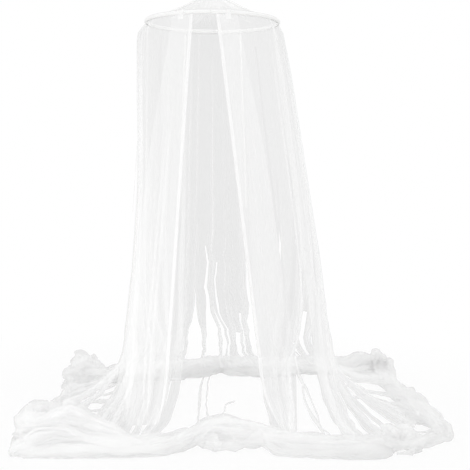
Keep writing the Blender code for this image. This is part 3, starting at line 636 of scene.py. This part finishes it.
def strand(rng, centre, radius, ring):
    """A length of cloth gathered lengthwise and rolled in on itself, as a grid, with its cut width."""
    count = len(centre)
    run = np.concatenate([[0], np.cumsum(np.linalg.norm(np.diff(centre, axis=0), axis=1))])
    side, up = path_frame(centre)
    c = np.linspace(0, 1, ring + 1)[None, :]
    a = run[:, None]
    turn = 2 * np.pi * STRAND_TURNS * c + rng.uniform(3, 7) * rng.choice([-1, 1]) * a + rng.uniform(0, 6)
    ridge = 0.30 * streaks(rng, count, ring + 1, 18, 1.6) + 0.18 * streaks(rng, count, ring + 1, 24, 5)
    flat = 1 + 0.30 * smooth_random(rng, count, 18, -1, 1)[:, None]
    reach = radius[:, None] * mix(1.0, STRAND_INNER, c) * (1 + ridge)
    grid = centre[:, None, :] + side[:, None, :] * (reach * flat * np.cos(turn))[..., None]
    grid += up[:, None, :] * (reach / flat * np.sin(turn))[..., None]
    across = np.concatenate([[0], np.cumsum(np.linalg.norm(np.diff(grid, axis=1), axis=-1).mean(0))])
    uv = np.stack([np.broadcast_to(across[None, :], (count, ring + 1)), np.broadcast_to(a, (count, ring + 1))], -1)
    return grid, uv, float(across[-1]), float(run[-1])


REACH = ((-0.779, 1.031), (-0.745, 0.847))  # room for the cloth in x and in y
SOFT_EDGE = 0.014
CREASE_SCALE = 10.0  # of the noise that roughens gathered cloth
SETTLE = 0.004  # how much higher cloth comes to lie where it would go under the floor


def keep_inside(grid):
    """Cloth that would stray past the net's ground slows down before its edge."""
    for axis, (low, high) in enumerate(REACH):
        past = np.maximum(low + SOFT_EDGE - grid[..., axis], 0)
        grid[..., axis] += past - SOFT_EDGE * (1 - np.exp(-past / SOFT_EDGE))
        past = np.maximum(grid[..., axis] - high + SOFT_EDGE, 0)
        grid[..., axis] -= past - SOFT_EDGE * (1 - np.exp(-past / SOFT_EDGE))
    return grid


def crumple(grid, seed, amount):
    """Slow unevenness, and rest on the floor."""
    grid = grid + turbulence(grid, CREASE_SCALE, 2, seed) * amount
    low = FLOOR_Z + REST
    dip = np.minimum(grid[..., 2] - low, 0)
    grid[..., 2] = np.maximum(grid[..., 2], low) + SETTLE * (1 - np.exp(dip * 60))
    return keep_inside(grid)


def finish_gathered(name, parts):
    """A piece of gathered strands, as one smoothed mesh of net on the net's body."""
    thing = grid_mesh(name, parts, (NET,), smooth=True)
    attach(thing, "net")


def build_roll(name, plan):
    """Several gathered strands that wind about each other along the roll."""
    rng = np.random.default_rng(plan["seed"])
    control = np.array(plan["path"], float)
    length = np.linalg.norm(np.diff(control[:, :2], axis=0), axis=1).sum()
    line = spline(control, int(length / ROLL_STEP) + 10)
    whole = np.maximum(line[:, 3], THINNEST_ROLL)
    axis = np.stack([line[:, 0], line[:, 1], FLOOR_Z + line[:, 2] + whole * 0.80], -1)
    side, up = path_frame(axis)
    run = np.linspace(0, length, len(axis))
    parts, width = [], 0.0
    for k in range(plan["strands"]):
        count = len(axis)
        turn = 2 * np.pi * k / plan["strands"] + plan["twist"] * run + smooth_random(rng, count, 20, -0.8, 0.8)
        away = whole * (0.50 + smooth_random(rng, count, 16, -0.22, 0.22 + plan["loose"]))
        away[:4] *= 0.5
        away[-4:] *= 0.5
        centre = axis + side * (away * np.cos(turn) * 1.15)[:, None] + up * (away * np.sin(turn) * 0.85)[:, None]
        radius = whole * (0.46 + smooth_random(rng, count, 14, -0.16, 0.16))
        grid, uv, cut, _ = strand(rng, centre, radius, ROLL_RING)
        parts.append({"grid": crumple(grid, plan["seed"] + k, 0.22 * float(whole.mean())), "uv": uv})
        width += cut
    finish_gathered(name, parts)


def build_heap(name, plan):
    """Loops of gathered cloth dropped over each other, the last ones smaller and higher."""
    rng = np.random.default_rng(plan["seed"])
    parts, width, lengths = [], 0.0, []
    inside = np.linspace(0, 1, HEAP_SAMPLES)
    taper = ease(np.minimum(inside, 1 - inside) * 4) * 0.7 + 0.3
    for k in range(plan["loops"]):
        level = k / (plan["loops"] - 1)
        shrink = mix(1.0, plan["top"], level)
        bend = rng.uniform(0, 2 * np.pi) + rng.uniform(1.6, 4.0) * np.linspace(-0.5, 0.5, HEAP_POINTS)
        wide = shrink * (0.78 + 0.22 * rng.uniform(-1, 1, HEAP_POINTS))
        offset = rng.uniform(-0.25, 0.25, 2) * shrink
        x = plan["centre"][0] + plan["reach"][0] * (wide * np.cos(bend) + offset[0])
        y = plan["centre"][1] + plan["reach"][1] * (wide * np.sin(bend) + offset[1])
        arch = np.sin(np.pi * np.linspace(0, 1, HEAP_POINTS))
        z = FLOOR_Z + 0.012 + plan["height"] * 0.66 * level ** 0.8 * (0.45 + 0.55 * arch)
        centre = spline(np.stack([x, y, z], -1), HEAP_SAMPLES)
        radius = plan["strand"] * (1 + smooth_random(rng, HEAP_SAMPLES, 12, -0.35, 0.45)) * taper
        grid, uv, cut, length = strand(rng, centre, radius, THICK_RING)
        parts.append({"grid": crumple(grid, plan["seed"] + k, plan["strand"] * 0.40), "uv": uv})
        width += cut
        lengths.append(length)
    finish_gathered(name, parts)


def build_strays():
    """Thin gathered strands between the rolls and the bundles."""
    rng = np.random.default_rng(STRAY_SEED)
    parts, width, lengths = [], 0.0, []
    for radius, points in STRAYS:
        path = spline(points, STRAY_SAMPLES)
        path[:, 2] += FLOOR_Z
        path[:, :2] += smooth_random(rng, STRAY_SAMPLES, 9, -0.010, 0.010)[:, None]
        path[:, 2] = np.maximum(path[:, 2], FLOOR_Z + REST + radius * 0.7)
        size = radius * (1 + smooth_random(rng, STRAY_SAMPLES, 8, -0.45, 0.45))
        grid, uv, cut, length = strand(rng, path, size, THIN_RING if radius < THIN_STRAND else THICK_RING)
        parts.append({"grid": crumple(grid, STRAY_NOISE + len(parts), radius * 0.4), "uv": uv})
        width += cut
        lengths.append(length)
    finish_gathered("stray_strands", parts)


# Cone above the hoop

CONE_SEED = 31
CONE_PLEATS, CONE_COLUMNS = 72, 10  # all round, and for each pleat
CONE_ROWS = 25
CONE_INNER_R = 0.013  # where the cloth is held between the crown's discs
CROWN_R = 0.026
CONE_TOP, CONE_FOOT = -0.1224, -0.2398  # heights
CONE_SAG = 1.4  # power of the hollow slope
CONE_LENGTH = 0.34  # of the cloth down the slope
CONE_OVERLAP = 0.024  # most that a pleat lies over its neighbour
CONE_LIFT = 0.0030  # how far a pleat stands out


def build_cone():
    """The pleated cone, caught between the crown's discs and in the casing."""
    rng = np.random.default_rng(CONE_SEED)
    pleats, per = CONE_PLEATS, CONE_COLUMNS
    _, _, s, phase = pleat_columns(rng.uniform(0.5, 1.5, pleats), per)
    down = np.linspace(0, 1, CONE_ROWS)[:, None]
    radius = mix(CONE_INNER_R, HOOP_R, down)
    slope = np.clip((radius - CROWN_R) / (HOOP_R - CROWN_R), 0, 1)
    height = mix(CONE_TOP, CONE_FOOT, 1 - (1 - slope) ** CONE_SAG)
    azimuth = 360 * s[None, :] + 0 * down
    strength = smooth_random(rng, len(s), per * 1.5, 0.15, 1.0)
    strength[-per * 2:] = np.linspace(strength[-per * 2], strength[0], per * 2)
    wave = triangle(phase)[None, :] * strength[None, :]
    hold = ease((radius - CROWN_R) / 0.05) * ease((1 - down) / 0.55)
    overlap = np.minimum(1.30 * 2 * np.pi * radius / pleats, CONE_OVERLAP)
    azimuth = azimuth + np.degrees(overlap * wave * hold / np.maximum(radius, 0.03))
    lift = CONE_LIFT * wave * hold
    grid = np.concatenate([polar(azimuth, radius), (height + lift)[..., None]], -1)
    fall = CONE_LENGTH * down[:, 0]
    cut = np.linalg.norm(np.diff(grid, axis=1), axis=-1).sum(1)
    uv = np.stack([s[None, :] * float(cut.max()) + 0 * down, -fall[:, None] + 0 * s[None, :]], -1)
    thing = grid_mesh("cone_net", [{"grid": grid, "uv": uv}], (NET,))
    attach(thing, "net")
    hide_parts("cone_gore_1", "cone_gore_2", "cone_gore_3", "cone_gore_4")


# Entrance leaves

# Azimuth, then the reach of the hem at top and foot and of the outer edge at top and foot. "still" is how far from
# the hem the cloth stays on the wall when the leaf is drawn, and "land" where the two ends of its tail lie.
LEAVES = {
    "left_leaf": {"turn": -24.0, "reach": (0.056, 0.027, -0.040, -0.235), "pleats": 5, "seed": 41, "still": 0.24,
                  "land": ((-0.20, -0.60, 0.10), (-0.32, -0.62, 0.10))},
    "right_leaf": {"turn": 14.0, "reach": (-0.053, 0.094, 0.040, 0.300), "pleats": 6, "seed": 43, "still": 0.19,
                   "land": ((0.30, -0.62, 0.09), (0.36, -0.64, 0.09))},
}
LEAF_ROWS = 34
TAIL_ROWS = 18
LEAF_COLUMNS = 12  # for each pleat
HEM_INSET = 0.0018  # of the cloth's edge inside the hem's fold
HEM_REACH = 0.0150  # of the strip that the hem holds
LEAF_FOLD = 0.012  # most that a leaf's pleat lies over its neighbour
LEAF_LIFT, LEAF_WAVE = 0.0030, 0.0026  # how far the cloth stands off the hem's plane, and how much that varies
TAIL_DROP = 0.16  # how far the tail goes on down before it turns to the roll


def leaf_frame(turn):
    """Pivot, direction across, direction down and outward normal, as in the frame."""
    def out(azimuth, radius, z):
        return np.array([*polar(azimuth, radius), z])
    reach_x = FOOT_RIGHT if math.sin(math.radians(turn)) > 0 else FOOT_LEFT
    support = math.hypot(math.sin(math.radians(turn)) * reach_x, math.cos(math.radians(turn)) * FOOT_FRONT)
    pivot = out(turn, HOOP_R + CASING_R - LEAF_HALF, HOOP_Z)
    base = out(turn, support + FOLD_DEPTH + NET_HALF + LEAF_CLEARANCE + LEAF_HALF, FLOOR_Z + FOOT_H)
    down = base - pivot
    down /= np.linalg.norm(down)
    across = out(turn + 90, 1.0, 0)
    normal = np.cross(across, down)
    normal /= np.linalg.norm(normal)
    if normal @ out(turn, 1.0, 0) < 0:
        normal = -normal
    return pivot, across, down, normal


def build_leaf(name, plan):
    """One leaf: its cloth from the casing to its foot, and the tail from there to the roll."""
    rng = np.random.default_rng(plan["seed"])
    pivot, across, down, normal = leaf_frame(plan["turn"])
    hem_top, hem_foot, outer_top, outer_foot = plan["reach"]
    toward = 1 if hem_top > outer_top else -1
    top = CASING_R + LEAF_TOP_GAP
    length = (HOOP_Z - FLOOR_Z - LEAF_FOOT_H) / -down[2]
    sizes, _, s, phase = pleat_columns(rng.uniform(0.5, 1.5, plan["pleats"]), LEAF_COLUMNS)
    v = np.linspace(0, 1, LEAF_ROWS)[:, None]
    first = mix(hem_top, hem_foot, v) - toward * HEM_INSET
    last = mix(outer_top, outer_foot, v) + (hem_foot - outer_foot) * 0.20 * ease((v - 0.35) / 0.65)
    inner = first - toward * HEM_REACH
    reach = mix(inner, last, s[None, :])
    spread = np.abs(last - inner)
    begin = smooth_random(rng, len(s), 16, -0.3, 0.3)[None, :]
    grown = ease((v - begin) / 0.6)
    fold = np.minimum(spread * sizes.mean() * 0.26, LEAF_FOLD)
    wave = triangle(phase)[None, :] * grown * ease(s[None, :] * 6)
    reach = reach + fold * wave * np.where(smooth_random(rng, len(s), 30, -1, 1) > 0, 1, -1)[None, :]
    lift = (LEAF_LIFT + LEAF_WAVE * wave) * ease(v * 3) * ease(s[None, :] * 6)
    fall = mix(top, length, v) + 0 * s[None, :]
    reach = np.concatenate([first, reach], 1)
    lift = np.concatenate([0 * v, lift], 1)
    fall = np.concatenate([fall[:, :1], fall], 1)
    grid = pivot + across * reach[..., None] + down * fall[..., None] + normal * lift[..., None]

    # tail: the cloth below the foot sweeps out to the roll and draws together
    t = np.linspace(0, 1, TAIL_ROWS + 1)[1:, None, None]
    q = np.concatenate([[0.0], s])[:, None]
    near, far = (np.array(point) + (0, 0, FLOOR_Z) for point in plan["land"])
    goal = mix(near, far, q) + normal * (0.006 * triangle(np.concatenate([[0.0], phase])))[:, None]
    bend = grid[-1] + down * TAIL_DROP
    tail = grid[-1] * (1 - t) ** 2 + bend * 2 * t * (1 - t) + goal * t ** 2
    grid = np.concatenate([grid, tail], 0)
    fall = np.concatenate([[0.0], np.cumsum(np.linalg.norm(np.diff(grid, axis=0), axis=-1).mean(1))])
    width = np.linalg.norm(np.diff(grid, axis=1), axis=-1).sum(1)
    u = np.concatenate([[-HEM_REACH], s * float(width.max())])
    uv = np.stack([u[None, :] + 0 * fall[:, None], -fall[:, None] + 0 * u[None, :]], -1)
    slot = np.zeros((grid.shape[0] - 1, grid.shape[1] - 1), int)
    slot[LEAF_ROWS - 1:, 0] = 1
    thing = grid_mesh(name + "_net", [{"grid": grid, "uv": uv, "slot": slot}], (NET, HEM))

    # the run of the hem, and the direction at right angles to it in the leaf's plane
    hem_run = across * (hem_foot - hem_top) + down * (length - top)
    aside = np.cross(normal, hem_run)
    aside *= np.sign(aside @ across) * -toward / np.linalg.norm(aside)
    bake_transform(thing)
    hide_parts(name)


for width_name, width_plan in WIDTHS.items():
    build_width(width_name, width_plan)
for roll_name, roll_plan in ROLLS.items():
    build_roll(roll_name, roll_plan)
for heap_name, heap_plan in HEAPS.items():
    build_heap(heap_name, heap_plan)
build_strays()
build_cone()
for leaf_name, leaf_plan in LEAVES.items():
    build_leaf(leaf_name, leaf_plan)


# Finishes of the carried-over nodes

FINISH = {"steel": STEEL, "white_plastic": PLASTIC, "white_tape": TAPE, "white_net": NET}
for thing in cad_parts.values():
    for slot in thing.material_slots:
        base = slot.material.name.split(".")[0] if slot.material else ""
        for key, stuff in FINISH.items():
            if base.startswith(key):
                slot.material = HEM if thing.name.endswith(("_leaf_hem", "_leaf_tab")) else stuff


# Floor, light and camera

GROUND_DIRECT = 1.0  # how bright the ground looks
# painted shade: the ground seen through net is drawn darker, in place of the net's own shade
GROUND_PAINTED_SHADE_BEHIND_NET = 0.785  # and through net
LAMPS = [  # name, place, size, power and the point that it shines at
    ("key", (-1.4, -2.3, 0.8), 1.6, 3.5, (-0.1, 0.0, -0.4)),
    ("fill", (1.5, -1.9, 0.8), 1.6, 3.5, (0.15, 0.0, -0.5)),
    ("low", (-1.1, -2.0, -1.75), 0.8, 5, (-0.5, -0.65, -1.97)),
]
FLOOR_HALF = 12.0
FLOOR_SINK = 0.0005
FLOOR_PLAIN = ((2.1, 0.90), (3.0, 1.0))  # distance from the origin, and how much of the floor's look is plain white


def light_path_mix(tree, light, shown, output, cover=None):
    """Joins what lights the net and what the camera sees, also by way of gloss or glass. The ground looks white to
    the camera, and light grey where it is seen through net: painted shade that stands in for the net's own shade. A
    cover is the share of the floor that shows as plain."""
    path = node(tree, "ShaderNodeLightPath")
    # painted shade: a ray that has passed through net sees the ground at the darker level
    through = node(tree, "ShaderNodeMath", {1: 0.5}, operation="GREATER_THAN")
    link(tree, path, "Transparent Depth", through, 0)
    level = node(tree, "ShaderNodeMapRange", {"To Min": GROUND_DIRECT, "To Max": GROUND_PAINTED_SHADE_BEHIND_NET})
    link(tree, through, 0, level, "Value")
    link(tree, level, "Result", shown, "Strength")
    seen = node(tree, "ShaderNodeMath", operation="MAXIMUM")
    link(tree, path, "Is Camera Ray", seen, 0)
    other = node(tree, "ShaderNodeMath", operation="MAXIMUM")
    link(tree, path, "Is Glossy Ray", other, 0)
    link(tree, path, "Is Transmission Ray", other, 1)
    link(tree, other, 0, seen, 1)
    choose = node(tree, "ShaderNodeMixShader")
    if cover:
        share = node(tree, "ShaderNodeMath", operation="MULTIPLY")
        link(tree, cover, "Result", share, 1)
        link(tree, seen, 0, share, 0)
        seen = share
    link(tree, seen, 0, choose, "Fac")
    link(tree, light, 0, choose, 1)
    link(tree, shown, 0, choose, 2)
    link(tree, choose, 0, node(tree, output), "Surface")


def make_world():
    """Even white light from all sides."""
    world = bpy.data.worlds.new("studio")
    bpy.context.scene.world = world
    world.use_nodes = True
    tree = world.node_tree
    tree.nodes.clear()
    white = {"Color": (1, 1, 1, 1), "Strength": 1.0}
    light, shown = node(tree, "ShaderNodeBackground", white), node(tree, "ShaderNodeBackground", white)
    # seen through net, the white world is drawn light grey: painted shade for the net
    light_path_mix(tree, light, shown, "ShaderNodeOutputWorld")


def make_floor():
    """A white floor that takes faint shadows near the net and none far out."""
    mesh = bpy.data.meshes.new("floor")
    half, z = FLOOR_HALF, FLOOR_Z - FLOOR_SINK
    mesh.from_pydata([(-half, -half, z), (half, -half, z), (half, half, z), (-half, half, z)], [], [(0, 1, 2, 3)])
    floor = bpy.data.objects.new("floor", mesh)
    bpy.context.scene.collection.objects.link(floor)
    stuff = bpy.data.materials.new("pale_floor")
    stuff.use_nodes = True
    tree = stuff.node_tree
    tree.nodes.clear()
    matt = node(tree, "ShaderNodeBsdfDiffuse", {"Color": (0.82, 0.82, 0.82, 1)})
    glow = node(tree, "ShaderNodeEmission", {"Color": (1, 1, 1, 1)})
    place = node(tree, "ShaderNodeTexCoord")
    away = node(tree, "ShaderNodeVectorMath", operation="LENGTH")
    link(tree, place, "Object", away, 0)
    (near, near_share), (far, far_share) = FLOOR_PLAIN
    cover = node(tree, "ShaderNodeMapRange",
                 {"From Min": near, "From Max": far, "To Min": near_share, "To Max": far_share},
                 interpolation_type="SMOOTHSTEP")
    link(tree, away, "Value", cover, "Value")
    # seen through net, the floor is drawn light grey: painted shade for the net
    light_path_mix(tree, matt, glow, "ShaderNodeOutputMaterial", cover)
    mesh.materials.append(stuff)
    floor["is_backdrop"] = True


def make_lamp(name, place, size, power, toward):
    """A round lamp that the camera doesn't see."""
    data = bpy.data.lights.new(name, "AREA")
    data.shape = "DISK"
    data.size = size
    data.energy = power
    lamp = bpy.data.objects.new(name, data)
    lamp.location = place
    lamp.visible_camera = False
    lamp.rotation_euler = (Vector(toward) - Vector(place)).to_track_quat("-Z", "Y").to_euler()
    bpy.context.scene.collection.objects.link(lamp)


def make_camera():
    """The view of the photograph."""
    data = bpy.data.cameras.new("photo_view")
    data.sensor_fit = "HORIZONTAL"
    data.sensor_width = SENSOR
    data.lens = FOCAL_PX * SENSOR / PICTURE_PX
    data.clip_end = 100
    camera = bpy.data.objects.new("photo_view", data)
    camera.location = CAMERA_PLACE
    camera.rotation_euler = (math.radians(90 - CAMERA_PITCH), 0, 0)
    camera.rotation_euler.rotate_axis("Z", math.radians(CAMERA_ROLL))
    bpy.context.scene.collection.objects.link(camera)
    bpy.context.scene.camera = camera


make_world()
make_floor()
for lamp_plan in LAMPS:
    make_lamp(*lamp_plan)
make_camera()
scene = bpy.context.scene
scene.view_settings.view_transform = "Standard"
# many layers of white cloth look dark unless light may pass and bounce often
scene.cycles.transparent_max_bounces = 256
scene.cycles.diffuse_bounces = 48
scene.cycles.glossy_bounces = 24
scene.cycles.max_bounces = 48

VISUAL_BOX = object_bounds()


def plain(value):
    """Nested lists of numbers."""
    if hasattr(value, "__len__"):
        return [plain(item) for item in value]
    return float(value)


{"cad": plain(CAD_BOX), "visual": plain(VISUAL_BOX)}
